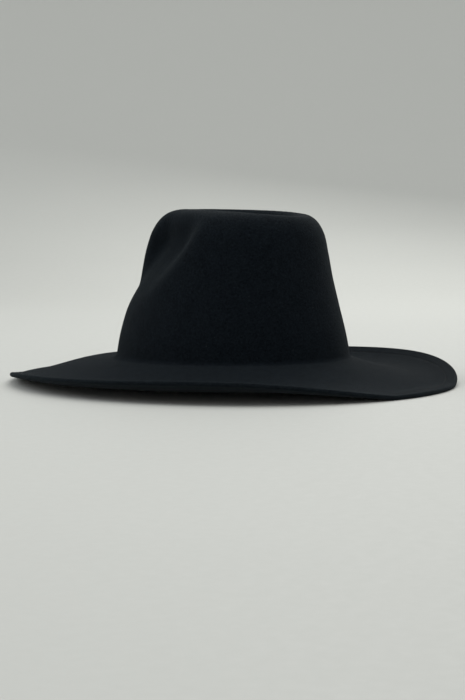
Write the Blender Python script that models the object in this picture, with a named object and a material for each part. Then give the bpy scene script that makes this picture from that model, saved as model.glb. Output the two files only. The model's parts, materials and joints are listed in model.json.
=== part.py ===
import math

import bmesh
import bpy
from mathutils import Vector

# A wide-brimmed felt fedora, standing on its brim. Metres, +Z up, the front towards -Y.
# The origin is on the surface below the middle of the brim.

BRIM_LENGTH = 0.376        # front edge to back edge
BRIM_BREADTH = 0.360       # edge to edge across the head
HEAD_LENGTH = 0.200        # head opening inside the felt, front to back
HEAD_BREADTH = 0.164       # head opening inside the felt, across
CROWN_FORWARD = 0.0005     # middle of the opening ahead of the middle of the brim
CROWN_HEIGHT = 0.125       # head side of the felt, from the mean break to the top
TOP_FALL = 0.004           # the top is this much lower at the back than at the front
BREAK_HEIGHT = 0.018       # underside of the brim where it meets the crown, above the surface
BREAK_RADIUS = 0.006       # rounding between brim and crown, head side
SIDE_RISE = 0.016          # brim edge at the sides, above its height at front and back
REST_PRESS = 0.0030        # the free brim would hang this much lower than the surface it rests on
FELT = 0.0018              # one layer of felt
WELT_WIDTH = 0.0115        # edge of the brim folded under and stitched down
CREASE_DEPTH = 0.021       # long dent in the top
PINCH_DEPTH = 0.019        # one dent on each side of the front
PINCH_FADE = 0.072         # the pinches grow from nothing over this height above the sweatband
BAND_HEIGHT = 0.030        # sweatband
BAND_THICKNESS = 0.0012
BAND_ABOVE_BREAK = 0.0015  # lower edge of the sweatband above the rounding
SEAT_GAP = 0.0004          # between the sweatband and the felt

COLUMNS = 64               # steps round the hat
BRIM_RINGS = 8
WELT_RINGS = 2
BREAK_RINGS = 4
CROWN_RINGS = 18
FOLD_STEPS = 4
BAND_RINGS = 3
SHARP_DEGREES = 50         # shading breaks at edges bent more than this
HALVINGS = 30              # steps of the search for a height on the crown's wall
BAND_SECTIONS = 3          # the sweatband lies below this section of the crown

# The brim by direction, turning from the front to the back. Slopes are the underside's, in degrees.
# "seat" is a share of BREAK_HEIGHT and "edge" a share of SIDE_RISE.
BRIM_SECTIONS = (
    {"part": "front", "leave": 6.0, "finish": -17.0, "seat": 0.92, "edge": 0.00},
    {"part": "front quarter", "leave": -4.0, "finish": 13.0, "seat": 0.94, "edge": 0.62},
    {"part": "side", "leave": -17.0, "finish": 28.0, "seat": 1.00, "edge": 1.00},
    {"part": "back quarter", "leave": -19.0, "finish": 23.0, "seat": 1.08, "edge": 0.90},
    {"part": "back", "leave": -15.0, "finish": -4.0, "seat": 1.12, "edge": 0.00},
)

# The crown from the break to the top, on the head side of the felt, before it is dented.
# "height" is a share of the crown's height, "length" and "back" of half the head's length,
# and "breadth" of half its breadth. "narrow" is how much narrower it is at the front than at the back.
CROWN_SECTIONS = (
    {"height": 0.000, "length": 1.000, "breadth": 1.000, "back": 0.000, "narrow": 0.000},
    {"height": 0.150, "length": 0.965, "breadth": 0.974, "back": 0.000, "narrow": 0.010},
    {"height": 0.340, "length": 0.904, "breadth": 0.934, "back": 0.002, "narrow": 0.060},
    {"height": 0.540, "length": 0.838, "breadth": 0.890, "back": 0.008, "narrow": 0.110},
    {"height": 0.710, "length": 0.786, "breadth": 0.850, "back": 0.022, "narrow": 0.150},
    {"height": 0.855, "length": 0.730, "breadth": 0.798, "back": 0.040, "narrow": 0.170},
    {"height": 0.950, "length": 0.648, "breadth": 0.706, "back": 0.050, "narrow": 0.180},
    {"height": 0.992, "length": 0.528, "breadth": 0.560, "back": 0.046, "narrow": 0.180},
    {"height": 1.000, "length": 0.340, "breadth": 0.355, "back": 0.040, "narrow": 0.180},
    {"height": 1.000, "length": 0.140, "breadth": 0.145, "back": 0.040, "narrow": 0.180},
)

# The dents. In the crease, "back" and "long" are shares of half the head's length, "wide" of half its
# breadth, "low" and "high" of the crown's height, and "taper" is how much wider its back end is.
# In the pinches, "turn", "sweep" and "wide" are degrees round the head from the front, "up" and
# "tall" shares of the crown's height, and "inner" and "outer" shares of half the head's length and
# breadth, between which they fade out towards the top. They push the felt "inwards" and "backwards".
CREASE = {"back": 0.12, "long": 0.56, "wide": 0.44, "low": 0.60, "high": 0.95, "taper": 0.30}
PINCH = {"turn": 45.0, "sweep": 66.0, "wide": 26.0, "up": 0.58, "tall": 0.33,
         "inner": 0.30, "outer": 0.62, "inwards": 0.80, "backwards": 0.60}

MATERIALS = {
    "felt": {"color": (0.010, 0.012, 0.014), "roughness": 0.95},
    "sweatband": {"color": (0.013, 0.010, 0.014), "roughness": 0.55},
}


def clear_scene():
    for item in list(bpy.data.objects):
        bpy.data.objects.remove(item, do_unlink=True)


def make_material(name):
    values = MATERIALS[name]
    material = bpy.data.materials.new(name)
    material.use_nodes = True
    shader = material.node_tree.nodes["Principled BSDF"]
    shader.inputs["Base Color"].default_value = (*values["color"], 1.0)
    shader.inputs["Roughness"].default_value = values["roughness"]
    shader.inputs["Metallic"].default_value = 0.0
    return material


def around(key, turn):
    # A cosine series through the sections, which are evenly spaced from front to back
    values = [section[key] for section in BRIM_SECTIONS]
    last = len(values) - 1
    total = 0.0
    for order in range(last + 1):
        part = 0.0
        for index, value in enumerate(values):
            weight = 0.5 if index in (0, last) else 1.0
            part += weight * value * math.cos(order * index * math.pi / last)
        scale = 1.0 if order in (0, last) else 2.0
        total += scale / last * part * math.cos(order * turn)
    return total


def along(key, place):
    # A smooth curve through the crown's sections. place counts sections from the break.
    last = len(CROWN_SECTIONS) - 1
    index = min(int(place), last - 1)
    share = place - index
    before, start, end, after = (
        CROWN_SECTIONS[min(max(index + step, 0), last)][key] for step in (-1, 0, 1, 2))
    lean_start = (end - before) / 2
    lean_end = (after - start) / 2
    bend = 2 * (start - end) + lean_start + lean_end
    lift = 3 * (end - start) - 2 * lean_start - lean_end
    return ((bend * share + lift) * share + lean_start) * share + start


def oval(turn, half_length, half_breadth, middle):
    return Vector((half_breadth * math.sin(turn), middle - half_length * math.cos(turn), 0.0))


def break_height(turn):
    return BREAK_HEIGHT * around("seat", turn)


def opening_point(turn):
    return oval(turn, HEAD_LENGTH / 2, HEAD_BREADTH / 2, -CROWN_FORWARD)


def edge_point(turn):
    # Middle of the folded edge, which bulges out by one layer of felt
    return oval(turn, BRIM_LENGTH / 2 - FELT, BRIM_BREADTH / 2 - FELT, 0.0)


def outward(turn):
    return (edge_point(turn) - opening_point(turn)).normalized()


def break_point(turn, share):
    # share 0 leaves the crown's wall, 1 leaves along the brim
    sweep = math.radians(90 + around("leave", turn)) * share
    across = BREAK_RADIUS * (1 - math.cos(sweep))
    point = opening_point(turn) + outward(turn) * across
    point.z = break_height(turn) + BREAK_RADIUS * (1 - math.sin(sweep))
    return point


def brim_point(turn, share):
    # share 0 is the end of the rounding, 1 the folded edge. The felt lies flat where it would
    # otherwise hang below the surface.
    start = break_point(turn, 1.0)
    end = edge_point(turn)
    end.z = FELT + SIDE_RISE * around("edge", turn) - REST_PRESS
    run = Vector((end.x - start.x, end.y - start.y)).length
    leave = math.tan(math.radians(around("leave", turn))) * run
    finish = math.tan(math.radians(around("finish", turn))) * run
    point = start.lerp(end, share)
    turned = 3 * share ** 2 - 2 * share ** 3
    point.z = start.z + (end.z - start.z) * turned
    point.z += leave * (share ** 3 - 2 * share ** 2 + share)
    point.z += finish * (share ** 3 - share ** 2)
    point.z = max(point.z, FELT)
    return point


def welt_share(turn):
    start = break_point(turn, 1.0)
    run = (Vector(edge_point(turn)[:2]) - Vector(start[:2])).length
    return 1 - (WELT_WIDTH - FELT) / run


def crease_drop(x, y):
    # A teardrop, wide at the back and pointed at the front
    half_length = HEAD_LENGTH / 2
    along_crease = (y + CROWN_FORWARD - half_length * CREASE["back"]) / (half_length * CREASE["long"])
    taper = 1 + CREASE["taper"] * max(min(along_crease, 1.0), -1.0)
    across_crease = x / (HEAD_BREADTH / 2 * CREASE["wide"] * taper)
    reach = across_crease ** 2 + along_crease ** 2
    if reach >= 1:
        return 0.0
    return CREASE_DEPTH * (1 - reach) ** 1.5


def pinch_push(point):
    # A hollow on each side leaves a broad ridge down the middle of the front. The back edge of each
    # runs from the rim down and forward. They fade out above the sweatband.
    across = abs(point.x) / (HEAD_BREADTH / 2)
    ahead = -(point.y + CROWN_FORWARD) / (HEAD_LENGTH / 2)
    above = (point.z - BREAK_HEIGHT) / CROWN_HEIGHT - PINCH["up"]
    aside = math.degrees(math.atan2(across, ahead)) - PINCH["turn"] - PINCH["sweep"] * above
    band_top = break_height(0.0) + BREAK_RADIUS + BAND_ABOVE_BREAK + BAND_HEIGHT
    fade = smooth_step(point.z, band_top, band_top + PINCH_FADE)
    fade *= smooth_step(math.hypot(across, ahead), PINCH["inner"], PINCH["outer"])
    push = PINCH_DEPTH * fade * math.exp(-(aside / PINCH["wide"]) ** 4 - (above / PINCH["tall"]) ** 4)
    return Vector((-math.copysign(push, point.x) * PINCH["inwards"], push * PINCH["backwards"], 0.0))


def crown_point(turn, place):
    half_length = HEAD_LENGTH / 2
    point = oval(turn, half_length * along("length", place),
                 HEAD_BREADTH / 2 * along("breadth", place),
                 half_length * along("back", place) - CROWN_FORWARD)
    point.x *= 1 - along("narrow", place) * (1 + math.cos(turn)) / 2
    foot = break_height(turn) + BREAK_RADIUS
    fall = TOP_FALL * (0.5 + (point.y + CROWN_FORWARD) / HEAD_LENGTH)
    top = BREAK_HEIGHT + CROWN_HEIGHT - fall
    point.z = foot + (top - foot) * along("height", place)
    return point


def dented(point):
    # Only the felt near the top goes down with the crease
    moved = point + pinch_push(point)
    top_share = smooth_step((point.z - BREAK_HEIGHT) / CROWN_HEIGHT, CREASE["low"], CREASE["high"])
    moved.z -= crease_drop(moved.x, moved.y) * top_share
    return moved


def smooth_step(value, low, high):
    share = min(max((value - low) / (high - low), 0.0), 1.0)
    return share * share * (3 - 2 * share)


def sheet_rings():
    # The head side of the felt, from the folded edge to the top, one ring of points at a time
    turns = [2 * math.pi * column / COLUMNS for column in range(COLUMNS)]
    rings = []
    for ring in range(WELT_RINGS + 1):
        rings.append([brim_point(turn, 1 - (1 - welt_share(turn)) * ring / WELT_RINGS)
                      for turn in turns])
    for ring in range(1, BRIM_RINGS + 1):
        rings.append([brim_point(turn, welt_share(turn) * (1 - ring / BRIM_RINGS))
                      for turn in turns])
    for ring in range(1, BREAK_RINGS + 1):
        rings.append([break_point(turn, 1 - ring / BREAK_RINGS) for turn in turns])
    last = len(CROWN_SECTIONS) - 1
    for ring in range(1, CROWN_RINGS + 1):
        rings.append([dented(crown_point(turn, last * ring / CROWN_RINGS)) for turn in turns])
    return rings


def add_ring(mesh, points):
    return [mesh.verts.new(point) for point in points]


def join_rings(mesh, first, second):
    count = len(first)
    for index in range(count):
        after = (index + 1) % count
        mesh.faces.new((first[index], first[after], second[after], second[index]))


def fill_ring(mesh, ring, middle):
    count = len(ring)
    for index in range(count):
        mesh.faces.new((ring[index], ring[(index + 1) % count], middle))


def felt_direction(vert):
    # Straight up where the brim lies on the surface
    return Vector((0.0, 0.0, 1.0)) if vert.co.z <= FELT else vert.normal.copy()


def ring_normals(rings):
    # Directions at right angles to the sheet, away from the head
    sheet = bmesh.new()
    verts = [add_ring(sheet, ring) for ring in rings]
    for first, second in zip(verts, verts[1:]):
        join_rings(sheet, first, second)
    centre = sheet.verts.new(sum(rings[-1], Vector()) / COLUMNS)
    fill_ring(sheet, verts[-1], centre)
    sheet.normal_update()
    normals = [[felt_direction(vert) for vert in ring] for ring in verts]
    middle = centre.co.copy()
    middle_normal = centre.normal.copy()
    sheet.free()
    return normals, middle, middle_normal


def add_object(name, mesh, material):
    bmesh.ops.recalc_face_normals(mesh, faces=mesh.faces)
    data = bpy.data.meshes.new(name)
    mesh.to_mesh(data)
    mesh.free()
    data.shade_smooth()
    data.set_sharp_from_angle(angle=math.radians(SHARP_DEGREES))
    data.materials.append(material)
    item = bpy.data.objects.new(name, data)
    bpy.context.scene.collection.objects.link(item)
    return item


def make_felt_body(material):
    rings = sheet_rings()
    normals, middle, middle_normal = ring_normals(rings)
    mesh = bmesh.new()

    # Outer side of the felt, from the edge to the top
    outer = [add_ring(mesh, [p + n * FELT for p, n in zip(ring, ring_normal)])
             for ring, ring_normal in zip(rings, normals)]
    for first, second in zip(outer, outer[1:]):
        join_rings(mesh, first, second)
    fill_ring(mesh, outer[-1], mesh.verts.new(middle + middle_normal * FELT))

    # Second layer of the folded edge, under the brim
    welt = [add_ring(mesh, [on_surface(p - n * FELT) for p, n in zip(rings[row], normals[row])])
            for row in range(WELT_RINGS + 1)]
    inner = [add_ring(mesh, ring) for ring in rings[WELT_RINGS:]]
    under = welt + inner
    for first, second in zip(under, under[1:]):
        join_rings(mesh, second, first)
    fill_ring(mesh, list(reversed(under[-1])), mesh.verts.new(middle))

    # Round fold that joins the two layers at the edge
    fold = [outer[0]]
    for step in range(1, FOLD_STEPS):
        angle = math.pi * step / FOLD_STEPS
        points = []
        for index, (point, normal) in enumerate(zip(rings[0], normals[0])):
            away = outward(2 * math.pi * index / COLUMNS)
            away = (away - normal * away.dot(normal)).normalized()
            points.append(on_surface(point + (normal * math.cos(angle) + away * math.sin(angle)) * FELT))
        fold.append(add_ring(mesh, points))
    fold.append(welt[0])
    for first, second in zip(fold, fold[1:]):
        join_rings(mesh, second, first)
    return add_object("felt_body", mesh, material)


def on_surface(point):
    return Vector((point.x, point.y, max(point.z, 0.0)))


def wall_point(turn, rise):
    # Head side of the crown's wall at a height above its foot
    foot = crown_point(turn, 0.0).z
    low = 0.0
    high = float(BAND_SECTIONS)
    for _ in range(HALVINGS):
        middle = (low + high) / 2
        if crown_point(turn, middle).z - foot < rise:
            low = middle
        else:
            high = middle
    return crown_point(turn, high)


def inward(turn):
    half_length = HEAD_LENGTH / 2
    half_breadth = HEAD_BREADTH / 2
    return Vector((-math.sin(turn) / half_breadth, math.cos(turn) / half_length, 0.0)).normalized()


def make_sweatband(material):
    turns = [2 * math.pi * column / COLUMNS for column in range(COLUMNS)]
    mesh = bmesh.new()
    section = []
    for step in range(BAND_RINGS + 1):
        section.append((BAND_ABOVE_BREAK + BAND_HEIGHT * step / BAND_RINGS, SEAT_GAP))
    for step in range(BAND_RINGS, -1, -1):
        section.append((BAND_ABOVE_BREAK + BAND_HEIGHT * step / BAND_RINGS, SEAT_GAP + BAND_THICKNESS))
    rings = [add_ring(mesh, [wall_point(turn, rise) + inward(turn) * depth for turn in turns])
             for rise, depth in section]
    for index, ring in enumerate(rings):
        join_rings(mesh, ring, rings[(index + 1) % len(rings)])
    return add_object("sweatband", mesh, material)


def main():
    clear_scene()
    make_felt_body(make_material("felt"))
    make_sweatband(make_material("sweatband"))


main()
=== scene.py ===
import json
import math

import bmesh
import bpy
import numpy as np
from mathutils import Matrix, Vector, noise

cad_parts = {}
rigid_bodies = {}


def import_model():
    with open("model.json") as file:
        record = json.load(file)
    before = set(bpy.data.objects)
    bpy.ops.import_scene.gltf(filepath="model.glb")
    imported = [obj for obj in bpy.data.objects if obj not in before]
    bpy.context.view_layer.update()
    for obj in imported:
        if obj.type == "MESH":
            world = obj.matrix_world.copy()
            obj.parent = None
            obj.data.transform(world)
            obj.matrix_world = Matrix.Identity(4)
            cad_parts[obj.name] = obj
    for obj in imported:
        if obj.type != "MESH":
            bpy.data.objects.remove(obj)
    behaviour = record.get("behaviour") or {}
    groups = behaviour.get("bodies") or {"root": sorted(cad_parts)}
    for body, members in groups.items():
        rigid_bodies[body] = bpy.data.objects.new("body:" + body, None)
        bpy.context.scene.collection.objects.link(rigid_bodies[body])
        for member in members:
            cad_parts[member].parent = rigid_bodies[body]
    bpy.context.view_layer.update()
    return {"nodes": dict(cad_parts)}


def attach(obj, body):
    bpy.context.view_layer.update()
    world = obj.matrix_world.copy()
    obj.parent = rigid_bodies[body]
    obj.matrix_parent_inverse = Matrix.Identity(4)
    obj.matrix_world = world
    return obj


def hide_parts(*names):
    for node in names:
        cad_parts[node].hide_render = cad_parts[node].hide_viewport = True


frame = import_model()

# A black wool felt fedora on a plain studio floor. Metres, +Z up, the front of the hat towards -Y.
# The felt follows the same sizes and sections as the solids, on a much finer grid of points.
# "turn" goes round the hat in radians, from the front.

print("frame loaded:", ", ".join(sorted(frame["nodes"])))


# Form of the hat

form = {
    "brimLength": 0.376,
    "brimBreadth": 0.360,
    "headLength": 0.200,
    "headBreadth": 0.164,
    "crownForward": 0.0005,
    "crownHeight": 0.125,
    "topFall": 0.004,
    "breakHeight": 0.018,
    "breakRadius": 0.006,
    "sideRise": 0.016,
    "restPress": 0.0030,
    "felt": 0.0018,          # one layer
    "weltWidth": 0.0115,     # folded edge
    "creaseDepth": 0.021,
    "pinchDepth": 0.019,
    "pinchFade": 0.072,
    "bandHeight": 0.030,
    "bandThickness": 0.0012,
    "bandAboveBreak": 0.0015,
    "seatGap": 0.0004,
}

# Brim from front to back: slopes in degrees, "seat" a share of breakHeight, "edge" a share of sideRise
brimSections = (
    {"part": "front", "leave": 6.0, "finish": -17.0, "seat": 0.92, "edge": 0.00},
    {"part": "front quarter", "leave": -4.0, "finish": 13.0, "seat": 0.94, "edge": 0.62},
    {"part": "side", "leave": -17.0, "finish": 28.0, "seat": 1.00, "edge": 1.00},
    {"part": "back quarter", "leave": -19.0, "finish": 23.0, "seat": 1.08, "edge": 0.90},
    {"part": "back", "leave": -15.0, "finish": -4.0, "seat": 1.12, "edge": 0.00},
)

# Crown from the break to the top: shares of its height and of half the head's length and breadth
crownSections = (
    {"height": 0.000, "length": 1.000, "breadth": 1.000, "back": 0.000, "narrow": 0.000},
    {"height": 0.150, "length": 0.965, "breadth": 0.974, "back": 0.000, "narrow": 0.010},
    {"height": 0.340, "length": 0.904, "breadth": 0.934, "back": 0.002, "narrow": 0.060},
    {"height": 0.540, "length": 0.838, "breadth": 0.890, "back": 0.008, "narrow": 0.110},
    {"height": 0.710, "length": 0.786, "breadth": 0.850, "back": 0.022, "narrow": 0.150},
    {"height": 0.855, "length": 0.730, "breadth": 0.798, "back": 0.040, "narrow": 0.170},
    {"height": 0.950, "length": 0.648, "breadth": 0.706, "back": 0.050, "narrow": 0.180},
    {"height": 0.992, "length": 0.528, "breadth": 0.560, "back": 0.046, "narrow": 0.180},
    {"height": 1.000, "length": 0.340, "breadth": 0.355, "back": 0.040, "narrow": 0.180},
    {"height": 1.000, "length": 0.140, "breadth": 0.145, "back": 0.040, "narrow": 0.180},
)

# Dents: the crease in shares of the half head and of the crown's height, the pinches also in degrees
crease = {"back": 0.12, "long": 0.56, "wide": 0.44, "low": 0.60, "high": 0.95, "taper": 0.30}
pinch = {"turn": 45.0, "sweep": 66.0, "wide": 26.0, "up": 0.58, "tall": 0.33,
         "inner": 0.30, "outer": 0.62, "inwards": 0.80, "backwards": 0.60}


def smoothStep(value, low, high):
    share = np.clip((value - low) / (high - low), 0.0, 1.0)
    return share * share * (3 - 2 * share)


def aroundHat(key, turn):
    # cosine series through the evenly spaced sections
    values = [section[key] for section in brimSections]
    last = len(values) - 1
    total = np.zeros_like(turn)
    for order in range(last + 1):
        part = 0.0
        for index, value in enumerate(values):
            weight = 0.5 if index in (0, last) else 1.0
            part += weight * value * math.cos(order * index * math.pi / last)
        scale = 1.0 if order in (0, last) else 2.0
        total = total + scale / last * part * np.cos(order * turn)
    return total


def alongCrown(key, place):
    # smooth curve through the crown's sections; place counts sections from the break
    values = np.array([section[key] for section in crownSections])
    last = len(values) - 1
    place = np.asarray(place, float)
    index = np.minimum(place.astype(int), last - 1)
    share = place - index
    before = values[np.clip(index - 1, 0, last)]
    start = values[index]
    end = values[index + 1]
    after = values[np.clip(index + 2, 0, last)]
    leanStart = (end - before) / 2
    leanEnd = (after - start) / 2
    bend = 2 * (start - end) + leanStart + leanEnd
    lift = 3 * (end - start) - 2 * leanStart - leanEnd
    return ((bend * share + lift) * share + leanStart) * share + start


def oval(turn, halfLength, halfBreadth, middle):
    x = halfBreadth * np.sin(turn)
    y = middle - halfLength * np.cos(turn)
    return np.stack([x, y, np.zeros_like(x)], -1)


def openingPoint(turn):
    return oval(turn, form["headLength"] / 2, form["headBreadth"] / 2, -form["crownForward"])


def edgePoint(turn):
    return oval(turn, form["brimLength"] / 2 - form["felt"], form["brimBreadth"] / 2 - form["felt"], 0.0)


def outward(turn):
    away = edgePoint(turn) - openingPoint(turn)
    return away / np.linalg.norm(away, axis=-1, keepdims=True)


def breakPoint(turn, share):
    # share 0 leaves the crown's wall, 1 leaves along the brim
    sweep = np.radians(90 + aroundHat("leave", turn)) * share
    radius = form["breakRadius"]
    point = openingPoint(turn) + outward(turn) * (radius * (1 - np.cos(sweep)))[..., None]
    point[..., 2] = form["breakHeight"] * aroundHat("seat", turn) + radius * (1 - np.sin(sweep))
    return point


def brimRun(turn):
    start = breakPoint(turn, np.ones_like(turn))
    return np.linalg.norm((edgePoint(turn) - start)[..., :2], axis=-1)


def brimPoint(turn, share):
    # share 0 is the end of the rounding, 1 the folded edge
    start = breakPoint(turn, np.ones_like(turn))
    end = edgePoint(turn)
    end[..., 2] = form["felt"] + form["sideRise"] * aroundHat("edge", turn) - form["restPress"]
    run = brimRun(turn)
    point = start + (end - start) * share[..., None]
    turned = 3 * share ** 2 - 2 * share ** 3
    z = start[..., 2] + (end[..., 2] - start[..., 2]) * turned
    z += np.tan(np.radians(aroundHat("leave", turn))) * run * (share ** 3 - 2 * share ** 2 + share)
    z += np.tan(np.radians(aroundHat("finish", turn))) * run * (share ** 3 - share ** 2)
    point[..., 2] = np.maximum(z, form["felt"])     # flat where it rests
    return point


def creaseDrop(x, y):
    halfLength = form["headLength"] / 2
    lengthwise = (y + form["crownForward"] - halfLength * crease["back"]) / (halfLength * crease["long"])
    taper = 1 + crease["taper"] * np.clip(lengthwise, -1.0, 1.0)
    across = x / (form["headBreadth"] / 2 * crease["wide"] * taper)
    reach = np.minimum(across ** 2 + lengthwise ** 2, 1.0)
    return form["creaseDepth"] * (1 - reach) ** 1.5


def pinchPush(point):
    across = np.abs(point[..., 0]) / (form["headBreadth"] / 2)
    ahead = -(point[..., 1] + form["crownForward"]) / (form["headLength"] / 2)
    above = (point[..., 2] - form["breakHeight"]) / form["crownHeight"] - pinch["up"]
    aside = np.degrees(np.arctan2(across, ahead)) - pinch["turn"] - pinch["sweep"] * above
    frontBreak = form["breakHeight"] * brimSections[0]["seat"] + form["breakRadius"]
    bandTop = frontBreak + form["bandAboveBreak"] + form["bandHeight"]
    fade = smoothStep(point[..., 2], bandTop, bandTop + form["pinchFade"])
    fade = fade * smoothStep(np.hypot(across, ahead), pinch["inner"], pinch["outer"])
    amount = form["pinchDepth"] * fade * np.exp(-(aside / pinch["wide"]) ** 4 - (above / pinch["tall"]) ** 4)
    push = np.zeros_like(point)
    push[..., 0] = -np.copysign(amount, point[..., 0]) * pinch["inwards"]
    push[..., 1] = amount * pinch["backwards"]
    return push


def crownPoint(turn, place):
    halfLength = form["headLength"] / 2
    halfBreadth = form["headBreadth"] / 2
    point = oval(turn, halfLength * alongCrown("length", place), halfBreadth * alongCrown("breadth", place),
                 halfLength * alongCrown("back", place) - form["crownForward"])
    point[..., 0] *= 1 - alongCrown("narrow", place) * (1 + np.cos(turn)) / 2
    foot = form["breakHeight"] * aroundHat("seat", turn) + form["breakRadius"]
    fall = form["topFall"] * (0.5 + (point[..., 1] + form["crownForward"]) / form["headLength"])
    top = form["breakHeight"] + form["crownHeight"] - fall
    point[..., 2] = foot + (top - foot) * alongCrown("height", place)
    return point


def dented(point):
    moved = point + pinchPush(point)
    height = (point[..., 2] - form["breakHeight"]) / form["crownHeight"]
    topShare = smoothStep(height, crease["low"], crease["high"])
    moved[..., 2] -= creaseDrop(moved[..., 0], moved[..., 1]) * topShare
    return moved


# Small helpers for meshes

def gridNormals(grid):
    # directions at right angles to a sheet of rows by columns that closes round the hat
    alongRow = np.roll(grid, -1, 1) - np.roll(grid, 1, 1)
    acrossRow = np.gradient(grid, axis=0)
    normal = np.cross(alongRow, acrossRow)
    return normal / np.maximum(np.linalg.norm(normal, axis=-1, keepdims=True), 1e-12)


def addToScene(name, data):
    item = bpy.data.objects.new(name, data)
    bpy.context.scene.collection.objects.link(item)
    return item


def makeGridMesh(name, grid, uMap, vMap, closedRows=False, poles=()):
    # rows by columns of points, closed round the hat, with a map in metres for the finish;
    # a pole closes the first or last row with one point in its middle
    rows, columns = grid.shape[:2]
    points = [tuple(p) for p in grid.reshape(-1, 3)]
    faces = []
    corners = []
    lastRow = rows if closedRows else rows - 1
    for row in range(lastRow):
        below = (row + 1) % rows
        for column in range(columns):
            after = column + 1
            wrapped = after % columns
            faces.append((row * columns + column, row * columns + wrapped,
                          below * columns + wrapped, below * columns + column))
            corners.extend(((uMap[column], vMap[row]), (uMap[after], vMap[row]),
                            (uMap[after], vMap[row + 1]), (uMap[column], vMap[row + 1])))
    for row, point, v in poles:
        middle = len(points)
        points.append(tuple(point))
        for column in range(columns):
            ends = (column, column + 1) if row else (column + 1, column)
            faces.append((*(row * columns + end % columns for end in ends), middle))
            corners.extend((*((uMap[end], vMap[row]) for end in ends), (uMap[column], v)))
    mesh = bpy.data.meshes.new(name)
    mesh.from_pydata(points, [], faces)
    layer = mesh.uv_layers.new(name="alongEdge")
    layer.data.foreach_set("uv", np.array(corners, dtype=np.float32).ravel())
    mesh.shade_smooth()
    mesh.validate()
    return addToScene(name, mesh)


def finishPiece(piece, material, replaced=()):
    piece.data.materials.append(material)
    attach(piece, "root")
    if replaced:
        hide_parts(*replaced)


def triangleCount(piece):
    return sum(len(face.vertices) - 2 for face in piece.data.polygons)


# Materials

class NodeBoard:
    # short names for the few node steps that every finish here uses
    def __init__(self, name):
        self.material = bpy.data.materials.new(name)
        self.material.use_nodes = True
        self.tree = self.material.node_tree
        self.shader = self.tree.nodes["Principled BSDF"]

    def add(self, kind, **values):
        node = self.tree.nodes.new(kind)
        for key, value in values.items():
            setattr(node, key, value)
        return node

    def link(self, source, target):
        self.tree.links.new(source, target)

    def place(self):
        return self.add("ShaderNodeTexCoord").outputs["Object"]

    def edgeMap(self):
        return self.add("ShaderNodeUVMap", uv_map="alongEdge").outputs["UV"]

    def noise(self, where, scale, detail=3.0, roughness=0.55, distortion=0.0):
        node = self.add("ShaderNodeTexNoise")
        node.inputs["Scale"].default_value = scale
        node.inputs["Detail"].default_value = detail
        node.inputs["Roughness"].default_value = roughness
        node.inputs["Distortion"].default_value = distortion
        self.link(where, node.inputs["Vector"])
        return node.outputs["Fac"]

    def cells(self, where, scale):
        node = self.add("ShaderNodeTexVoronoi")
        node.inputs["Scale"].default_value = scale
        self.link(where, node.inputs["Vector"])
        return node.outputs["Distance"]

    def stretch(self, where, scale, turn=(0.0, 0.0, 0.0)):
        node = self.add("ShaderNodeMapping")
        node.inputs["Scale"].default_value = scale
        node.inputs["Rotation"].default_value = turn
        self.link(where, node.inputs["Vector"])
        return node.outputs["Vector"]

    def math(self, operation, first, second=0.0):
        node = self.add("ShaderNodeMath", operation=operation)
        for socket, value in zip(node.inputs, (first, second)):
            if isinstance(value, (int, float)):
                socket.default_value = value
            else:
                self.link(value, socket)
        return node.outputs[0]

    def ramp(self, value, stops):
        node = self.add("ShaderNodeValToRGB")
        elements = node.color_ramp.elements
        while len(elements) < len(stops):
            elements.new(0.5)
        for element, (position, colour) in zip(elements, stops):
            element.position = position
            element.color = (*colour, 1.0)
        self.link(value, node.inputs["Fac"])
        return node.outputs["Color"]

    def remap(self, value, low, high, toLow, toHigh):
        node = self.add("ShaderNodeMapRange")
        limits = {"From Min": low, "From Max": high, "To Min": toLow, "To Max": toHigh}
        for key, limit in limits.items():
            node.inputs[key].default_value = limit
        self.link(value, node.inputs["Value"])
        return node.outputs["Result"]

    def tones(self, value, finish):
        # from a finish's dark tone to its pale one
        low, high = finish["toneRange"]
        return self.ramp(value, ((low, finish["dark"]), (high, finish["pale"])))

    def roughen(self, value, finish):
        # noise stays mostly between 0.3 and 0.7
        rough = self.remap(value, 0.3, 0.7, *finish["roughness"])
        self.link(rough, self.shader.inputs["Roughness"])

    def mix(self, share, first, second):
        node = self.add("ShaderNodeMix", data_type="RGBA")
        self.link(share, node.inputs["Factor"])
        self.setColour(node.inputs[6], first)
        self.setColour(node.inputs[7], second)
        return node.outputs[2]

    def setColour(self, socket, value):
        if isinstance(value, tuple):
            socket.default_value = (*value, 1.0)
        else:
            self.link(value, socket)

    def split(self, where):
        node = self.add("ShaderNodeSeparateXYZ")
        self.link(where, node.inputs["Vector"])
        return node.outputs

    def bump(self, height, strength, distance, base=None):
        node = self.add("ShaderNodeBump")
        node.inputs["Strength"].default_value = strength
        node.inputs["Distance"].default_value = distance
        self.link(height, node.inputs["Height"])
        if base is not None:
            self.link(base, node.inputs["Normal"])
        return node.outputs["Normal"]

    def set(self, **values):
        for key, value in values.items():
            self.shader.inputs[key.replace("_", " ")].default_value = value


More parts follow.
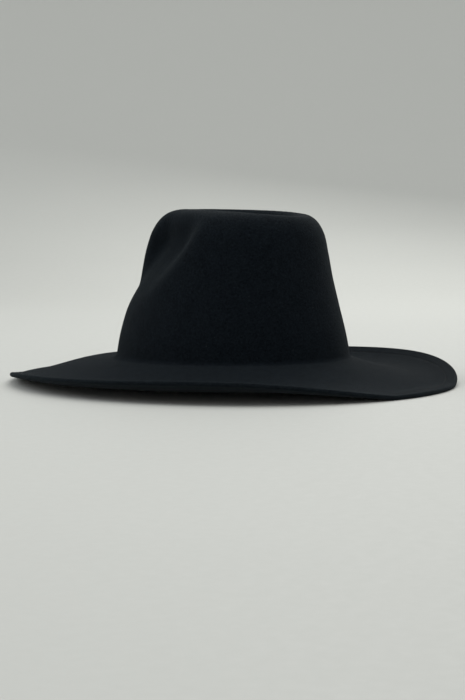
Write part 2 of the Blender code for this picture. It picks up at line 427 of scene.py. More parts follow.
feltFinish = {
    "dark": (0.0012, 0.0020, 0.0032),
    "pale": (0.0058, 0.0086, 0.0116),
    "paleWearAndHighlight": (0.0150, 0.0185, 0.0205),
    "toneRange": (0.34, 0.68),
    "mottleScale": 110.0,        # clouds of nap, about 9 mm
    "mottleShare": 0.22,
    "clumpScale": 620.0,         # tufts, about 1.5 mm
    "clumpBump": (0.75, 0.00050),
    "fibreScale": 2100.0,        # single fibres
    "fibreBump": (0.80, 0.00035),
    "fibreLays": (               # each lay's stretch and turn
        ((1.0, 0.12, 0.5), (0.3, 0.2, 0.5)),
        ((0.12, 1.0, 0.5), (0.1, 0.6, 0.9)),
        ((0.6, 0.5, 0.12), (0.8, 0.1, 0.2)),
    ),
    "paleFibres": (0.66, 0.76),  # only the highest fibres are lighter
    "paleFibreShare": 0.42,
    "wearHighlightTufts": (0.40, 0.65),   # rubbed places, lighter also as painted highlight, take the tufts first
    "wearHighlightShare": 0.35,
    "roughness": (0.98, 0.84),
    "sheen": 0.035,
    "sheenRoughness": 0.45,
    "sheenTint": (0.80, 0.93, 1.0, 1.0),
    "specular": 0.03,
    "stitchPitch": 0.0034,
    "seamFromEdge": 0.0097,
    "swellWidth": 0.0011,        # the felt swells between the stitches
    "swellBump": (0.9, 0.00045),
}


def makeFeltMaterial():
    board = NodeBoard("woolFelt")
    where = board.place()
    mottle = board.noise(where, feltFinish["mottleScale"], detail=4.0, roughness=0.6)
    clump = board.noise(where, feltFinish["clumpScale"], detail=4.0, roughness=0.65, distortion=0.8)
    layers = []
    for stretched, turned in feltFinish["fibreLays"]:
        laid = board.stretch(where, stretched, turned)
        layers.append(board.noise(laid, feltFinish["fibreScale"], detail=2.0, roughness=0.6, distortion=1.4))
    fibre = board.math("MAXIMUM", board.math("MAXIMUM", layers[0], layers[1]), layers[2])
    mottleShare = feltFinish["mottleShare"]
    tone = board.math("ADD", board.math("MULTIPLY", mottle, mottleShare),
                      board.math("MULTIPLY", clump, 1 - mottleShare))
    colour = board.tones(tone, feltFinish)
    paleFibre = board.remap(fibre, *feltFinish["paleFibres"], 0.0, feltFinish["paleFibreShare"])
    colour = board.mix(paleFibre, colour, feltFinish["paleWearAndHighlight"])
    # lighter felt on the folded edge and the crown's rim: partly wear, partly a painted highlight where the
    # edges catch the light
    wearAndHighlight = board.add("ShaderNodeAttribute", attribute_name="wearAndHighlight").outputs["Fac"]
    wearHighlightPatch = board.math("MULTIPLY", wearAndHighlight, board.remap(clump, *feltFinish["wearHighlightTufts"], 0.0, 1.0))
    colour = board.mix(board.math("MULTIPLY", wearHighlightPatch, feltFinish["wearHighlightShare"]), colour, feltFinish["paleWearAndHighlight"])
    board.link(colour, board.shader.inputs["Base Color"])
    board.roughen(clump, feltFinish)
    normal = board.bump(seamSwell(board), *feltFinish["swellBump"])
    normal = board.bump(clump, *feltFinish["clumpBump"], normal)
    normal = board.bump(fibre, *feltFinish["fibreBump"], normal)
    board.link(normal, board.shader.inputs["Normal"])
    board.set(Specular_IOR_Level=feltFinish["specular"], Sheen_Weight=feltFinish["sheen"],
              Sheen_Roughness=feltFinish["sheenRoughness"], Sheen_Tint=feltFinish["sheenTint"])
    return board.material


def seamSwell(board):
    # a bell across the seam, which drops to nothing at each end of a stitch
    onEdge = board.split(board.edgeMap())
    beat = board.math("MULTIPLY", onEdge[0], math.pi / feltFinish["stitchPitch"])
    swell = board.math("ABSOLUTE", board.math("SINE", beat))
    offSeam = board.math("SUBTRACT", onEdge[1], feltFinish["seamFromEdge"])
    offSeam = board.math("DIVIDE", offSeam, feltFinish["swellWidth"])
    squared = board.math("MULTIPLY", offSeam, offSeam)
    nearSeam = board.math("POWER", math.e, board.math("MULTIPLY", squared, -1.0))
    return board.math("MULTIPLY", nearSeam, swell)


leatherFinish = {
    "dark": (0.0030, 0.0022, 0.0048),
    "pale": (0.0080, 0.0060, 0.0112),
    "toneRange": (0.30, 0.70),
    "grainScale": 1150.0,        # pores a little under 1 mm apart
    "grainShare": 0.3,
    "grainBump": (0.50, 0.00016),
    "fineGrainScale": 2645.0,
    "fineGrainBump": (0.30, 0.00008),
    "foldScale": 120.0,
    "foldStretch": (1.0, 1.0, 0.35),
    "foldBump": (0.35, 0.0008),
    "roughness": (0.50, 0.70),
    "specular": 0.13,
    "specularTint": (0.84, 0.72, 1.0, 1.0),
    "coat": 0.01,
    "coatRoughness": 0.45,
}


def makeLeatherMaterial():
    board = NodeBoard("sweatbandLeather")
    where = board.place()
    grain = board.cells(where, leatherFinish["grainScale"])
    fineGrain = board.noise(where, leatherFinish["fineGrainScale"], roughness=0.6)
    stretched = board.stretch(where, leatherFinish["foldStretch"])
    fold = board.noise(stretched, leatherFinish["foldScale"], detail=4.0, distortion=0.6)
    grainShare = leatherFinish["grainShare"]
    tone = board.math("ADD", board.math("MULTIPLY", fold, 1 - grainShare),
                      board.math("MULTIPLY", grain, grainShare))
    board.link(board.tones(tone, leatherFinish), board.shader.inputs["Base Color"])
    board.roughen(fold, leatherFinish)
    normal = board.bump(fold, *leatherFinish["foldBump"])
    normal = board.bump(grain, *leatherFinish["grainBump"], normal)
    normal = board.bump(fineGrain, *leatherFinish["fineGrainBump"], normal)
    board.link(normal, board.shader.inputs["Normal"])
    board.set(Specular_IOR_Level=leatherFinish["specular"], Specular_Tint=leatherFinish["specularTint"],
              Coat_Weight=leatherFinish["coat"], Coat_Roughness=leatherFinish["coatRoughness"])
    return board.material


threadFinish = {
    "dark": (0.0014, 0.0018, 0.0023),
    "pale": (0.0064, 0.0076, 0.0088),
    "toneRange": (0.35, 0.65),
    "twistScale": 2600.0,
    "twistStretch": (1.0, 1.0, 0.4),
    "twistTurn": (0.6, 0.6, 0.0),
    "twistBump": (0.5, 0.00012),
    "roughness": (0.45, 0.65),
    "specular": 0.16,
    "sheen": 0.04,
    "sheenRoughness": 0.4,
}


def makeThreadMaterial():
    board = NodeBoard("sewingThread")
    twisted = board.stretch(board.place(), threadFinish["twistStretch"], threadFinish["twistTurn"])
    twist = board.noise(twisted, threadFinish["twistScale"], detail=2.0, roughness=0.5)
    board.link(board.tones(twist, threadFinish), board.shader.inputs["Base Color"])
    board.roughen(twist, threadFinish)
    board.link(board.bump(twist, *threadFinish["twistBump"]), board.shader.inputs["Normal"])
    board.set(Specular_IOR_Level=threadFinish["specular"], Sheen_Weight=threadFinish["sheen"],
              Sheen_Roughness=threadFinish["sheenRoughness"])
    return board.material


napFinish = {
    "dark": (0.0030, 0.0044, 0.0056),
    "pale": (0.0090, 0.0118, 0.0140),
    "lint": (0.1100, 0.1120, 0.1040),
    "toneRange": (0.35, 0.65),
    "cloudScale": 300.0,
    "roughness": (0.75, 0.95),
    "specular": 0.08,
    "sheen": 0.05,
    "sheenRoughness": 0.4,
}


def makeNapMaterial():
    board = NodeBoard("napFibres")
    cloud = board.noise(board.place(), napFinish["cloudScale"], detail=2.0, roughness=0.5)
    wool = board.tones(cloud, napFinish)
    lint = board.add("ShaderNodeAttribute", attribute_name="lint").outputs["Fac"]
    board.link(board.mix(lint, wool, napFinish["lint"]), board.shader.inputs["Base Color"])
    board.roughen(cloud, napFinish)
    board.set(Specular_IOR_Level=napFinish["specular"], Sheen_Weight=napFinish["sheen"],
              Sheen_Roughness=napFinish["sheenRoughness"])
    return board.material


# Felt body

feltPiece = {
    "columns": 288,
    "weltRows": 12,
    "brimRows": 34,
    "breakRows": 9,
    "crownRows": 84,
    "innerCrownRows": 40,
    "foldRows": 8,
    "restBlend": 0.0006,     # height over which the felt turns from flat to curved
    "wander": 0.00035,       # how far hand blocking moves the felt
    "wanderScale": 17.0,
    "wanderOffset": (3.1, 0.4),
    "fineWander": 0.00007,
    "fineWanderScale": 120.0,
    "fineWanderOffset": (7.7, 2.6),
    "wanderHeights": (0.002, 0.008),    # none where the brim rests
    "underWander": 0.4,      # share of it on the folded layer
    "innerWander": 0.6,      # and on the head side
    "innerOffset": 5.0,
    "seamDepth": 0.00030,
    "seamWidth": 0.00100,
    "rawEdgeRound": 0.00060,
    "rawEdgeDrop": 0.45,
    "rawEdgeShares": (0.45, 0.12),      # rows down the cut edge of the fold
    "wearHighlightWidth": 0.0028,     # rubbed strip along the edge, lighter also as a painted highlight
    "rimWearHighlight": (0.98, 1.10),            # and on the rim, in shares of the crown's height
    "rimWearHighlightShare": 0.55,
    "topMap": 0.2,           # the middle of the top lies far from the seam on the map
}


def sheetRows(turn, crownRows):
    # the head side of the felt, row by row from the folded edge to the top, and each row's distance
    # from the edge along the felt at its mean
    run = brimRun(turn)
    welt = 1 - (form["weltWidth"] - form["felt"]) / run
    rows = []
    fromEdge = []
    for step in range(feltPiece["weltRows"] + 1):
        share = 1 - (1 - welt) * step / feltPiece["weltRows"]
        rows.append(brimPoint(turn, share))
        fromEdge.append(form["felt"] + (form["weltWidth"] - form["felt"]) * step / feltPiece["weltRows"])
    for step in range(1, feltPiece["brimRows"] + 1):
        share = welt * (1 - step / feltPiece["brimRows"])
        rows.append(brimPoint(turn, share))
        fromEdge.append(form["weltWidth"] + (run.mean() - form["weltWidth"]) * step / feltPiece["brimRows"])
    for step in range(1, feltPiece["breakRows"] + 1):
        rows.append(breakPoint(turn, np.full_like(turn, 1 - step / feltPiece["breakRows"])))
    last = len(crownSections) - 1
    for step in range(1, crownRows + 1):
        rows.append(dented(crownPoint(turn, np.full_like(turn, last * step / crownRows))))
    grid = np.array(rows)
    steps = np.linalg.norm(np.diff(grid, axis=0), axis=-1).mean(1)
    for row in range(len(fromEdge), len(rows)):
        fromEdge.append(fromEdge[-1] + steps[row - 1])
    return grid, fromEdge


def sheetNormals(grid):
    # away from the head, which is up on the brim, and straight up where the brim rests
    normal = gridNormals(grid)
    if normal[len(normal) // 3, 0, 2] < 0:
        normal = -normal
    resting = smoothStep(grid[..., 2], form["felt"] + feltPiece["restBlend"], form["felt"])[..., None]
    straightUp = np.zeros_like(normal)
    straightUp[..., 2] = 1.0
    mixed = normal * (1 - resting) + straightUp * resting
    return mixed / np.linalg.norm(mixed, axis=-1, keepdims=True)


def wander(grid, sideOffset):
    # small unevenness of felt blocked by hand
    broadOffset = Vector((sideOffset, *feltPiece["wanderOffset"]))
    fineOffset = Vector((sideOffset, *feltPiece["fineWanderOffset"]))
    flat = grid.reshape(-1, 3)
    amount = np.empty(len(flat))
    for index, point in enumerate(flat):
        broad = noise.noise(Vector(point) * feltPiece["wanderScale"] + broadOffset)
        fine = noise.noise(Vector(point) * feltPiece["fineWanderScale"] + fineOffset)
        amount[index] = broad * feltPiece["wander"] + fine * feltPiece["fineWander"]
    amount = amount.reshape(grid.shape[:2])
    return amount * smoothStep(grid[..., 2], *feltPiece["wanderHeights"])


def foldedEdge(edge, normal, turn):
    # round fold from the top of the brim to the layer under it, and its map
    away = outward(turn)
    away = away - normal * (away * normal).sum(-1, keepdims=True)
    away /= np.linalg.norm(away, axis=-1, keepdims=True)
    rows = []
    mapped = []
    for step in range(1, feltPiece["foldRows"]):
        angle = math.pi * step / feltPiece["foldRows"]
        rows.append(edge + (normal * math.cos(angle) + away * math.sin(angle)) * form["felt"])
        mapped.append(form["felt"] * abs(math.cos(angle)))
    return rows, mapped


def turnedUnder(sheet, normal, drift, seam, fromEdge):
    # second layer under the brim, to its rounded raw edge, and its map
    felt = form["felt"]
    last = feltPiece["weltRows"]
    rows = []
    mapped = []
    for row in range(last + 1):
        depth = felt - seam[row] * feltPiece["seamDepth"] + drift[row] * feltPiece["underWander"]
        inset = max(0.0, 1 - (form["weltWidth"] - fromEdge[row]) / feltPiece["rawEdgeRound"])
        depth = depth * math.sqrt(max(0.0, 1 - feltPiece["rawEdgeDrop"] * inset ** 2))
        rows.append(sheet[row] - normal[row] * depth[..., None])
        mapped.append(fromEdge[row])
    for share in feltPiece["rawEdgeShares"]:
        rows.append(sheet[last] - normal[last] * felt * share)
        mapped.append(form["weltWidth"])
    return rows, mapped


def headSide(turn):
    # head side of the brim and the crown, from the raw edge to the top, and its map
    grid, fromEdge = sheetRows(turn, feltPiece["innerCrownRows"])
    drift = wander(grid, feltPiece["innerOffset"]) * feltPiece["innerWander"]
    grid = grid + sheetNormals(grid) * drift[..., None]
    return grid[feltPiece["weltRows"]:], fromEdge[feltPiece["weltRows"]:]


def stitchedMap(turn):
    # metres along the edge, stretched a little so that a whole number of stitches goes round
    perimeter = np.linalg.norm(np.roll(edgePoint(turn), -1, 0) - edgePoint(turn), axis=-1)
    stitches = round(perimeter.sum() / feltFinish["stitchPitch"])
    mapLength = stitches * feltFinish["stitchPitch"]
    return np.concatenate([[0.0], np.cumsum(perimeter)]) * mapLength / perimeter.sum(), stitches


def buildFelt(material):
    # one closed skin: down the outside, round the fold, along the turned layer and up the head side
    turn = np.arange(feltPiece["columns"]) * 2 * math.pi / feltPiece["columns"]
    sheet, fromEdge = sheetRows(turn, feltPiece["crownRows"])
    fromEdge = np.array(fromEdge)
    normal = sheetNormals(sheet)
    drift = wander(sheet, 0.0)
    seam = np.exp(-((fromEdge - feltFinish["seamFromEdge"]) / feltPiece["seamWidth"]) ** 2)[:, None]
    thickness = form["felt"] + drift - seam * feltPiece["seamDepth"]
    outer = (sheet + normal * thickness[..., None])[::-1]
    fold, foldMap = foldedEdge(sheet[0], normal[0], turn)
    under, underMap = turnedUnder(sheet, normal, drift, seam, fromEdge)
    inner, innerMap = headSide(turn)
    grid = np.array([*outer, *fold, *under, *inner])
    grid[..., 2] = np.maximum(grid[..., 2], 0.0)
    vMap = [*fromEdge[::-1], *foldMap, *underMap, *innerMap]
    along, stitches = stitchedMap(turn)
    poles = [(row, grid[row].mean(0), feltPiece["topMap"]) for row in (0, len(grid) - 1)]
    piece = makeGridMesh("feltBody", grid, along, vMap, poles=poles)
    addWearAndHighlight(piece, grid, np.array(vMap), len(outer))
    finishPiece(piece, material, ("felt_body",))
    print("felt body:", triangleCount(piece), "triangles,", stitches, "stitches round the edge")
    return piece, stitches


def addWearAndHighlight(piece, grid, fromEdge, outerCount):
    # lighter felt for wear and painted highlight: most on the fold of the edge, less on the rim of the crown
    rim = smoothStep(grid[..., 2], *(form["crownHeight"] * share for share in feltPiece["rimWearHighlight"]))
    rim[outerCount:] = 0.0
    edge = np.exp(-(fromEdge / feltPiece["wearHighlightWidth"]) ** 2)[:, None]
    amount = np.clip(edge + feltPiece["rimWearHighlightShare"] * rim, 0.0, 1.0)
    wearAndHighlight = np.zeros(len(piece.data.vertices), dtype=np.float32)
    wearAndHighlight[:amount.size] = amount.ravel()
    piece.data.attributes.new("wearAndHighlight", "FLOAT", "POINT").data.foreach_set("value", wearAndHighlight)


# Thread

stitchShape = {
    "rings": 6,
    "sides": 6,
    "bow": 0.85,             # its middle stands this share of its radius off the cloth
    "endWidth": 0.45,        # share of the radius where it goes into the cloth
}


def addStitch(parts, start, end, up, radius, sink):
    # one stitch of thread, bowed, with its ends down in the cloth
    rings = stitchShape["rings"]
    sides = stitchShape["sides"]
    run = end - start
    across = run.cross(up).normalized()
    base = len(parts["points"])
    for ring in range(rings + 1):
        share = ring / rings
        bow = math.sin(math.pi * share)
        centre = start + run * share
        centre += up * (radius * stitchShape["bow"] * bow - sink * (1 - bow))
        width = radius * (stitchShape["endWidth"] + (1 - stitchShape["endWidth"]) * bow ** 0.5)
        for side in range(sides):
            angle = 2 * math.pi * side / sides
            rim = across * (math.cos(angle) * width) + up * (math.sin(angle) * width)
            parts["points"].append(centre + rim)
    for ring in range(rings):
        for side in range(sides):
            a = base + ring * sides + side
            b = base + ring * sides + (side + 1) % sides
            parts["faces"].append((a, b, b + sides, a + sides))
    parts["faces"].append(tuple(base + side for side in reversed(range(sides))))
    parts["faces"].append(tuple(base + rings * sides + side for side in range(sides)))


def makeThreadPiece(name, parts, material):
    mesh = bpy.data.meshes.new(name)
    mesh.from_pydata([tuple(p) for p in parts["points"]], [], parts["faces"])
    mesh.shade_smooth()
    mesh.validate()
    piece = addToScene(name, mesh)
    sewn = bmesh.new()
    sewn.from_mesh(mesh)
    bmesh.ops.recalc_face_normals(sewn, faces=sewn.faces)
    sewn.to_mesh(mesh)
    sewn.free()
    finishPiece(piece, material)
    print(name + ":", triangleCount(piece), "triangles")


edgeStitching = {
    "radius": 0.00024,
    "fill": 0.74,            # share of the pitch that the thread shows
    "sink": 0.00022,
    "height": 1.9,           # radii that a stitch takes up below the cloth
    "samples": 4096,
    "stepIn": 0.002,         # probes for the slope at the seam, metres inwards and radians aside
    "stepAside": 0.004,
}


def seamPoints(turn):
    # the head side of the felt under the seam, and the direction away from it
    run = brimRun(turn)
    share = 1 - (feltFinish["seamFromEdge"] - form["felt"]) / run
    here = brimPoint(turn, share)
    inwards = brimPoint(turn, share - edgeStitching["stepIn"] / run)
    aside = brimPoint(turn + edgeStitching["stepAside"], share)
    normal = np.cross(aside - here, inwards - here)
    normal /= np.linalg.norm(normal, axis=-1, keepdims=True)
    normal *= np.sign(normal[..., 2:3])
    resting = (here[..., 2] <= form["felt"] + 1e-6)[..., None]
    return here, np.where(resting, np.array([0.0, 0.0, 1.0]), normal)


def buildEdgeStitches(material, stitches):
    # one row through both layers, seen on both sides of the brim
    samples = edgeStitching["samples"]
    turn = np.arange(samples) * 2 * math.pi / samples
    loop = edgePoint(turn)
    length = np.concatenate([[0.0], np.cumsum(np.linalg.norm(np.roll(loop, -1, 0) - loop, axis=-1))])
    pitch = length[-1] / stitches
    marks = np.arange(stitches) * pitch
    wholeTurn = np.append(turn, 2 * math.pi)
    starts = np.interp(marks, length, wholeTurn)
    ends = np.interp(marks + edgeStitching["fill"] * pitch, length, wholeTurn)
    startPoints, startNormals = seamPoints(starts)
    endPoints, endNormals = seamPoints(ends)
    onTop = {"points": [], "faces": []}
    below = {"points": [], "faces": []}
    radius = edgeStitching["radius"]
    sink = edgeStitching["sink"]
    lift = form["felt"] - feltPiece["seamDepth"]
    takenUp = radius * edgeStitching["height"] - feltPiece["seamDepth"]
    for start, end, normal, nextNormal in zip(startPoints, endPoints, startNormals, endNormals):
        up = Vector((normal + nextNormal) / 2).normalized()
        addStitch(onTop, Vector(start) + up * lift, Vector(end) + up * lift, up, radius, sink)
        # nothing sticks out where the brim rests
        room = min(start[2], end[2]) - form["felt"]
        depth = lift - max(0.0, takenUp - room)
        addStitch(below, Vector(start) - up * depth, Vector(end) - up * depth, -up, radius, sink)
    makeThreadPiece("edgeStitchesOnTop", onTop, material)
    makeThreadPiece("edgeStitchesBelow", below, material)


# Sweatband

leatherPiece = {
    "columns": 360,
    "heightRows": 14,
    "lean": 0.0009,          # the free upper edge stands off the felt
    "wave": 0.0005,
    "waves": 9,
    "waveMix": (0.6, 0.4),   # slow and quick waves
    "waveShift": 1.1,
    "backRise": (0.03, 0.97),           # shares of its height, against the felt
    "faceRise": (0.08, 0.97),           # and towards the head
    "cutEdge": ((0.992, 0.18), (1.0, 0.5), (0.992, 0.82)),   # shares of height and thickness
    "rollRadius": 0.00095,   # turned lower edge
    "rollAngles": (70, 35, 0, -35, -70),
    "rollSeat": 0.55,
    "foot": (0.0002, 0.3),   # height in metres, share of the thickness
    "stitchPitch": 0.0042,
    "stitchFrom": 0.12,      # shares of the pitch
    "stitchTo": 0.84,
    "stitchAboveEdge": 0.0034,
    "stitchRadius": 0.00026,
    "stitchSink": 0.9,       # in radii
    "samples": 2049,
    "halvings": 30,
    "searchTop": 3.0,        # the band lies below this section of the crown
    "lapHalfWidth": 0.0045,  # where its two ends lap at the back
    "lapThickness": 0.00040,
    "lapEdge": 0.0016,
}


def wallPoint(turn, rise):
    # head side of the crown's wall at a height above its foot
    foot = crownPoint(turn, np.zeros_like(turn))[..., 2]
    low = np.zeros_like(turn)
    high = np.full_like(turn, leatherPiece["searchTop"])
    for _ in range(leatherPiece["halvings"]):
        middle = (low + high) / 2
        short = crownPoint(turn, middle)[..., 2] - foot < rise
        low = np.where(short, middle, low)
        high = np.where(short, high, middle)
    return crownPoint(turn, high)


def inward(turn):
    # level, and at right angles to the head's oval
    way = np.stack([-np.sin(turn) / form["headBreadth"], np.cos(turn) / form["headLength"],
                    np.zeros_like(turn)], -1)
    return way / np.linalg.norm(way, axis=-1, keepdims=True)


def bandPoint(turn, rise, depth):
    # depth is measured from the felt, towards the head
    share = rise / form["bandHeight"]
    lean = leatherPiece["lean"] * share ** 2
    slow, quick = leatherPiece["waveMix"]
    swing = slow * np.sin(leatherPiece["waves"] * turn)
    swing = swing + quick * np.sin(leatherPiece["waves"] * 2 * turn + leatherPiece["waveShift"])
    wave = leatherPiece["wave"] * share ** 3 * (1 + swing)
    place = wallPoint(turn, form["bandAboveBreak"] + rise)
    fromLap = np.where(place[..., 1] > 0, np.abs(place[..., 0]), 1.0)      # the lap is at the back only
    lapEnd = leatherPiece["lapHalfWidth"] + leatherPiece["lapEdge"]
    lap = 1 - smoothStep(fromLap, leatherPiece["lapHalfWidth"], lapEnd)
    thicker = leatherPiece["lapThickness"] * lap * depth / form["bandThickness"]
    return place + inward(turn) * (form["seatGap"] + depth + thicker + lean + wave)[..., None]


def buildSweatband(material):
    # a closed strip: up the felt's side, over the cut edge, down the head's side and round the roll
    turn = np.arange(leatherPiece["columns"]) * 2 * math.pi / leatherPiece["columns"]
    thick = form["bandThickness"]
    height = form["bandHeight"]
    steps = leatherPiece["heightRows"] + 1
    profile = [(height * share, 0.0) for share in np.linspace(*leatherPiece["backRise"], steps)]
    for share, through in leatherPiece["cutEdge"]:
        profile.append((height * share, thick * through))
    for share in np.linspace(*leatherPiece["faceRise"], steps)[::-1]:
        profile.append((height * share, thick))
    roll = leatherPiece["rollRadius"]
    for angle in leatherPiece["rollAngles"]:
        rise = roll * (1 + math.sin(math.radians(angle)))
        profile.append((rise, thick - roll * leatherPiece["rollSeat"] + roll * math.cos(math.radians(angle))))
    profile.append((leatherPiece["foot"][0], thick * leatherPiece["foot"][1]))
    grid = np.array([bandPoint(turn, rise, np.full_like(turn, depth)) for rise, depth in profile])
    ring = np.linalg.norm(np.roll(grid[0], -1, 0) - grid[0], axis=-1)
    along = np.concatenate([[0.0], np.cumsum(ring)])
    upright = [rise for rise, _ in profile] + [0.0]
    piece = makeGridMesh("leatherSweatband", grid, along, upright, closedRows=True)
    finishPiece(piece, material, ("sweatband",))
    print("sweatband:", triangleCount(piece), "triangles")


def bandFace(turn):
    # a point on the band's head side at the height of its stitches, and the direction away from the felt
    one = np.array([turn])
    here = bandPoint(one, leatherPiece["stitchAboveEdge"], np.array([form["bandThickness"]]))[0]
    return Vector(here), Vector(inward(one)[0])


def buildBandStitches(material):
    turn = np.linspace(0, 2 * math.pi, leatherPiece["samples"])
    loop = wallPoint(turn, form["bandAboveBreak"] + leatherPiece["stitchAboveEdge"])
    length = np.concatenate([[0.0], np.cumsum(np.linalg.norm(np.diff(loop, axis=0), axis=-1))])
    count = round(length[-1] / leatherPiece["stitchPitch"])
    pitch = length[-1] / count
    radius = leatherPiece["stitchRadius"]
    parts = {"points": [], "faces": []}
    for index in range(count):
        marks = [(index + leatherPiece["stitchFrom"]) * pitch, (index + leatherPiece["stitchTo"]) * pitch]
        first, last = np.interp(marks, length, turn)
        start, away = bandFace(first)
        end, _ = bandFace(last)
        addStitch(parts, start, end, away, radius, radius * leatherPiece["stitchSink"])
    makeThreadPiece("sweatbandStitches", parts, material)


# Nap

napPiece = {
    "count": 18000,
    "length": (0.0005, 0.0013),
    "width": 0.000034,
    "rooted": 0.00005,         # how far a fibre starts below the face of the felt
    "lift": (0.10, 0.65),      # share of the length that stands off the felt
    "lintShare": 0.012,        # pale specks of lint among the wool
    "lintSize": 1.9,           # how much longer and wider they are
    "bend": 0.35,
    "clearOfFloor": 0.003,
    "middle": (0.5, 0.6, 0.4, 0.8),    # along, lift, bend and width at a fibre's middle, in shares
    "sides": 3,
    "seed": 7,
}


def fibreFaces(base):
    # a ring at the root, a ring at the middle and the tip, closed all round
    sides = napPiece["sides"]
    tip = base + 2 * sides
    faces = [tuple(base + side for side in reversed(range(sides)))]
    for side in range(sides):
        here = base + side
        after = base + (side + 1) % sides
        faces.append((here, after, after + sides, here + sides))
        faces.append((here + sides, after + sides, tip))
    return faces


def fibreRoots(felt, random):
    # points spread over the felt by area, with the directions away from it
    mesh = felt.data
    mesh.calc_loop_triangles()
    points = np.array([vertex.co for vertex in mesh.vertices])
    triangles = np.array([triangle.vertices for triangle in mesh.loop_triangles])
    a, b, c = (points[triangles[:, corner]] for corner in range(3))
    cross = np.cross(b - a, c - a)
    area = np.linalg.norm(cross, axis=1) / 2
    normals = cross / np.maximum(area * 2, 1e-15)[:, None]
    chosen = random.choice(len(area), napPiece["count"], p=area / area.sum())
    u, v = random.rand(2, napPiece["count"])
    outside = u + v > 1
    u[outside] = 1 - u[outside]
    v[outside] = 1 - v[outside]
    root = a[chosen] + (b[chosen] - a[chosen]) * u[:, None] + (c[chosen] - a[chosen]) * v[:, None]
    keep = root[:, 2] > napPiece["clearOfFloor"]
    return root[keep], normals[chosen][keep]


def buildNap(felt, material):
    # loose fibres of wool, which soften the outline close by
    random = np.random.RandomState(napPiece["seed"])
    root, normal = fibreRoots(felt, random)
    total = len(root)
    lying = np.cross(normal, random.normal(size=(total, 3)))
    lying /= np.linalg.norm(lying, axis=1, keepdims=True)
    lint = (np.arange(total) < total * napPiece["lintShare"]).astype(np.float32)
    larger = (1 + lint * (napPiece["lintSize"] - 1))[:, None]
    length = random.uniform(*napPiece["length"], size=total)[:, None] * larger
    lift = random.uniform(*napPiece["lift"], size=total)[:, None] / larger ** 2
    aside = np.cross(normal, lying)
    radius = larger * napPiece["width"] / 2
    bent = aside * length * random.uniform(-napPiece["bend"], napPiece["bend"], size=total)[:, None]
    along, up, over, wide = napPiece["middle"]
    root = root - normal * napPiece["rooted"]
    middle = root + lying * length * along + normal * length * lift * up + bent * over
    tip = root + lying * length + normal * length * lift + bent
    ring = []
    for side in range(napPiece["sides"]):
        angle = 2 * math.pi * side / napPiece["sides"]
        ring.append((aside * math.cos(angle) + normal * math.sin(angle)) * radius)
    corners = [root + spoke for spoke in ring] + [middle + spoke * wide for spoke in ring] + [tip]
    vertices = np.stack(corners, 1).reshape(-1, 3)
    faces = []
    for index in range(total):
        faces.extend(fibreFaces(index * len(corners)))
    mesh = bpy.data.meshes.new("feltNap")
    mesh.from_pydata(vertices.tolist(), [], faces)
    mesh.shade_smooth()
    mesh.attributes.new("lint", "FLOAT", "POINT").data.foreach_set("value", np.repeat(lint, len(corners)))
    piece = addToScene("feltNap", mesh)
    finishPiece(piece, material)
    print("nap:", total, "fibres,", triangleCount(piece), "triangles")


# Studio

studio = {
    "floorColour": (0.52, 0.525, 0.50),
    "cloudDepth": 0.985,
    "cloudScale": 2.2,
    "grainScale": 140.0,
    "grainBump": (0.08, 0.0006),
    "roughness": (0.62, 0.78),
    "specular": 0.30,
    "floorSize": 16.0,
    "floorGap": 0.0001,      # below the flat felt
    "wallDistance": 1.1,
    "wallHeight": 3.0,
    "bendRadius": 1.4,
    "bendSteps": 12,
    "worldColour": (0.92, 0.94, 0.94),
    "worldStrength": 0.80,
    "lightAim": 0.06,        # height that the lights point at
}

# Soft lamps, placed by degrees round and above the hat
lights = (
    {"name": "topLight", "azimuth": 150, "elevation": 68, "distance": 1.7,
     "size": 1.5, "power": 9, "colour": (1.0, 0.98, 0.95)},
    {"name": "sideLight", "azimuth": 40, "elevation": 32, "distance": 1.6,
     "size": 1.0, "power": 7, "colour": (0.93, 0.97, 1.0)},
    {"name": "backLight", "azimuth": 285, "elevation": 36, "distance": 1.5,
     "size": 1.2, "power": 9, "colour": (1.0, 1.0, 0.98)},
)

view = {
    "azimuth": 122.5,        # 0 looks along +Y, 90 along -X
    "elevation": 5.0,
    "distance": 1.42,
    "lens": 87.4,
    "sensor": 36.0,
    "aimHeight": 0.026,
}


def skyDirection(azimuth, elevation):
    # from the hat outwards, in degrees
    bearing = math.radians(azimuth)
    above = math.radians(elevation)
    level = math.cos(above)
    return Vector((math.sin(bearing) * level, -math.cos(bearing) * level, math.sin(above)))


def makeStudioMaterial():
    board = NodeBoard("paintedStudio")
    cloud = board.noise(board.place(), studio["cloudScale"], roughness=0.5)
    grain = board.noise(board.place(), studio["grainScale"], roughness=0.6)
    tint = studio["floorColour"]
    dim = tuple(channel * studio["cloudDepth"] for channel in tint)
    board.link(board.ramp(cloud, ((0.3, dim), (0.7, tint))), board.shader.inputs["Base Color"])
    board.roughen(grain, studio)
    board.link(board.bump(grain, *studio["grainBump"]), board.shader.inputs["Normal"])
    board.set(Specular_IOR_Level=studio["specular"])
    # seen from below, the floor is clear, so the underside of the brim can be looked at
    output = board.tree.nodes["Material Output"]
    choose = board.add("ShaderNodeMixShader")
    board.link(board.add("ShaderNodeNewGeometry").outputs["Backfacing"], choose.inputs[0])
    board.link(board.shader.outputs["BSDF"], choose.inputs[1])
    board.link(board.add("ShaderNodeBsdfTransparent").outputs["BSDF"], choose.inputs[2])
    board.link(choose.outputs[0], output.inputs["Surface"])
    return board.material


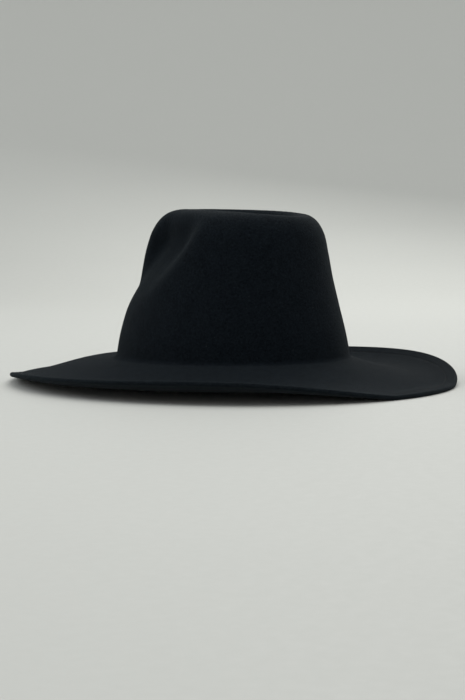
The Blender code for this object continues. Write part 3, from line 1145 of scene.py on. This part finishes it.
def buildFloor():
    # a floor that bends up into a wall behind the hat, as seen from the camera
    towards = -skyDirection(view["azimuth"], 0.0)
    side = towards.cross(Vector((0, 0, 1)))
    radius = studio["bendRadius"]
    profile = [(-studio["floorSize"] / 2, 0.0), (studio["wallDistance"], 0.0)]
    for step in range(1, studio["bendSteps"] + 1):
        angle = math.pi / 2 * step / studio["bendSteps"]
        profile.append((studio["wallDistance"] + radius * math.sin(angle), radius * (1 - math.cos(angle))))
    profile.append((studio["wallDistance"] + radius, studio["wallHeight"]))
    half = studio["floorSize"] / 2
    points = []
    for run, rise in profile:
        for across in (-half, half):
            points.append(towards * run + side * across + Vector((0, 0, rise - studio["floorGap"])))
    faces = [(low, low + 1, low + 3, low + 2) for low in range(0, 2 * len(profile) - 2, 2)]
    mesh = bpy.data.meshes.new("studioFloor")
    mesh.from_pydata([tuple(p) for p in points], [], faces)
    mesh.shade_smooth()
    floor = addToScene("studioFloor", mesh)
    mesh.materials.append(makeStudioMaterial())
    print("studio: floor and wall")


def buildLight():
    # even light all round, and soft lamps that point at the hat
    world = bpy.data.worlds.new("studioAir")
    bpy.context.scene.world = world
    world.use_nodes = True
    background = world.node_tree.nodes["Background"]
    background.inputs["Color"].default_value = (*studio["worldColour"], 1.0)
    background.inputs["Strength"].default_value = studio["worldStrength"]
    target = Vector((0, 0, studio["lightAim"]))
    for values in lights:
        lamp = bpy.data.lights.new(values["name"], "AREA")
        lamp.energy = values["power"]
        lamp.size = values["size"]
        lamp.color = values["colour"]
        holder = addToScene(values["name"], lamp)
        holder.location = target + skyDirection(values["azimuth"], values["elevation"]) * values["distance"]
        holder.rotation_euler = (target - holder.location).to_track_quat("-Z", "Y").to_euler()
    print("studio:", len(lights), "lamps")


def buildCamera():
    lens = bpy.data.cameras.new("photoView")
    lens.sensor_width = view["sensor"]
    lens.lens = view["lens"]
    camera = addToScene("photoView", lens)
    aim = Vector((0, 0, view["aimHeight"]))
    back = skyDirection(view["azimuth"], view["elevation"])
    camera.location = aim + back * view["distance"]
    camera.rotation_euler = (-back).to_track_quat("-Z", "Y").to_euler()
    bpy.context.scene.camera = camera
    print("camera at height", round(camera.location.z, 3))


# All together

buildCamera()
buildFloor()
buildLight()
threadMaterial = makeThreadMaterial()
feltBody, stitchCount = buildFelt(makeFeltMaterial())
buildEdgeStitches(threadMaterial, stitchCount)
buildSweatband(makeLeatherMaterial())
buildBandStitches(threadMaterial)
buildNap(feltBody, makeNapMaterial())
bpy.context.scene.view_settings.view_transform = "Standard"
